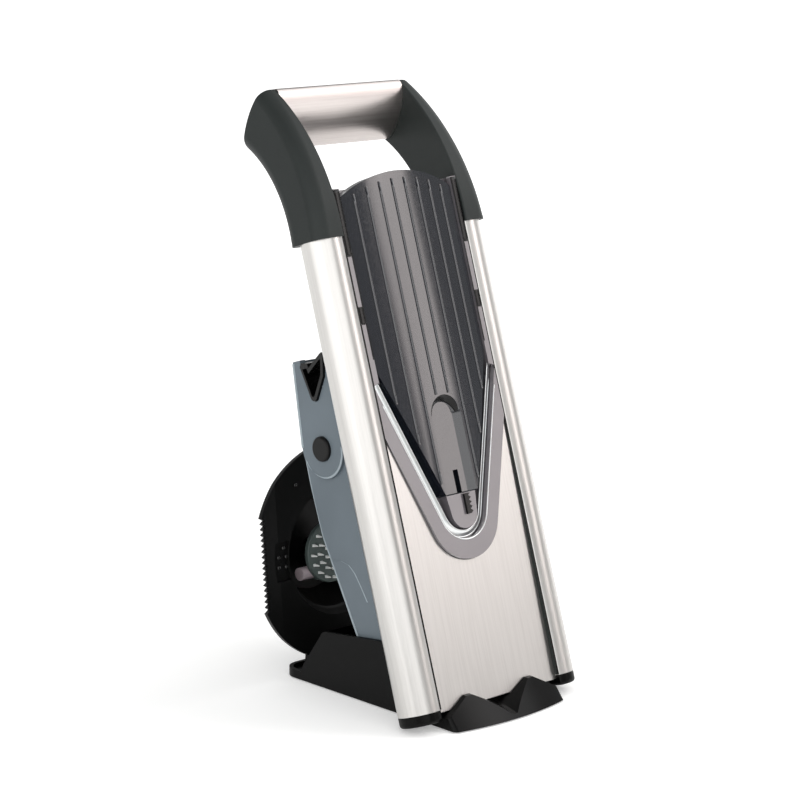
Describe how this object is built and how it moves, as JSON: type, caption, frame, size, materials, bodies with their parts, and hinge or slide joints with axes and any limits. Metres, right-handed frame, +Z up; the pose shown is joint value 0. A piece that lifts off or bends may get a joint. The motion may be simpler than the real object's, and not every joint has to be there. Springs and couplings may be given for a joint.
{
  "type": "mandoline slicer with stand",
  "caption": "V-blade mandoline slicer leaning in a moulded stand, with a lift-out runway insert, stored julienne inserts and a food holder with a sliding plunger.",
  "frame": {"origin": "on the table under the middle of the object's box", "axes": "+X to the right seen from the front, +Y to the back where the food holder stands, +Z up; the slicer leans back in the YZ plane"},
  "size_m": [0.1308, 0.194, 0.3456],
  "materials": {
    "brushed_steel": "brushed along the length",
    "blade_steel": "polished",
    "grip_plastic": "fine matt texture",
    "smoky_plastic": "glossy, smoky",
    "runway_plastic": "satin gloss",
    "black_plastic": "satin",
    "foot_rubber": "matt",
    "frosted_plastic": "frosted, translucent",
    "plate_plastic": "satin",
    "rod_plastic": "satin"
  },
  "bodies": {
    "stand": {"stand_base": "black_plastic", "rubber_feet": "foot_rubber", "insert_box": "frosted_plastic"},
    "slicer": {"left_rail": "brushed_steel", "right_rail": "brushed_steel", "left_rail_cap": "grip_plastic", "right_rail_cap": "grip_plastic", "front_panel": "brushed_steel", "panel_rivets": "brushed_steel", "v_blade_frame": "smoky_plastic", "depth_rack": "smoky_plastic", "left_v_blade": "blade_steel", "right_v_blade": "blade_steel", "left_shoulder": "grip_plastic", "right_shoulder": "grip_plastic", "handle_bar": "brushed_steel"},
    "runway": {"runway_insert": "runway_plastic"},
    "left_button": {"left_box_button": "black_plastic"},
    "right_button": {"right_box_button": "black_plastic"},
    "fine_insert": {"fine_julienne_insert": "runway_plastic", "fine_julienne_blades": "blade_steel"},
    "coarse_insert": {"coarse_julienne_insert": "runway_plastic", "coarse_julienne_blades": "blade_steel"},
    "food_holder": {"holder_hat": "black_plastic"},
    "plunger": {"plunger_knob": "black_plastic", "plunger_shaft": "black_plastic", "pin_plate": "plate_plastic", "holder_pins": "blade_steel", "guide_rod": "rod_plastic"}
  },
  "joints": [
    {"name": "slicer_lift", "type": "slide", "parent": "stand", "child": "slicer", "axis": [0, 0.299, 0.9542], "range_m": [0, 0.24]},
    {"name": "runway_slide", "type": "slide", "parent": "slicer", "child": "runway", "axis": [0, 0.299, 0.9542], "range_m": [0, 0.262]},
    {"name": "holder_lift", "type": "slide", "parent": "stand", "child": "food_holder", "axis": [0, 0.0819, 0.9966], "range_m": [0, 0.23]},
    {"name": "plunger_slide", "type": "slide", "parent": "food_holder", "child": "plunger", "axis": [0, 0.9966, -0.0819], "range_m": [0, 0.0085]},
    {"name": "fine_insert_lift", "type": "slide", "parent": "stand", "child": "fine_insert", "axis": [0, 0.299, 0.9542], "range_m": [0, 0.113]},
    {"name": "coarse_insert_lift", "type": "slide", "parent": "stand", "child": "coarse_insert", "axis": [0, 0.299, 0.9542], "range_m": [0, 0.113]},
    {"name": "left_button_press", "type": "slide", "parent": "stand", "child": "left_button", "axis": [1, 0, 0], "range_m": [0, 0.0025], "stiffness_N_per_m": 400, "springref_m": -0.002},
    {"name": "right_button_press", "type": "slide", "parent": "stand", "child": "right_button", "axis": [-1, 0, 0], "range_m": [0, 0.0025], "stiffness_N_per_m": 400, "springref_m": -0.002}
  ]
}
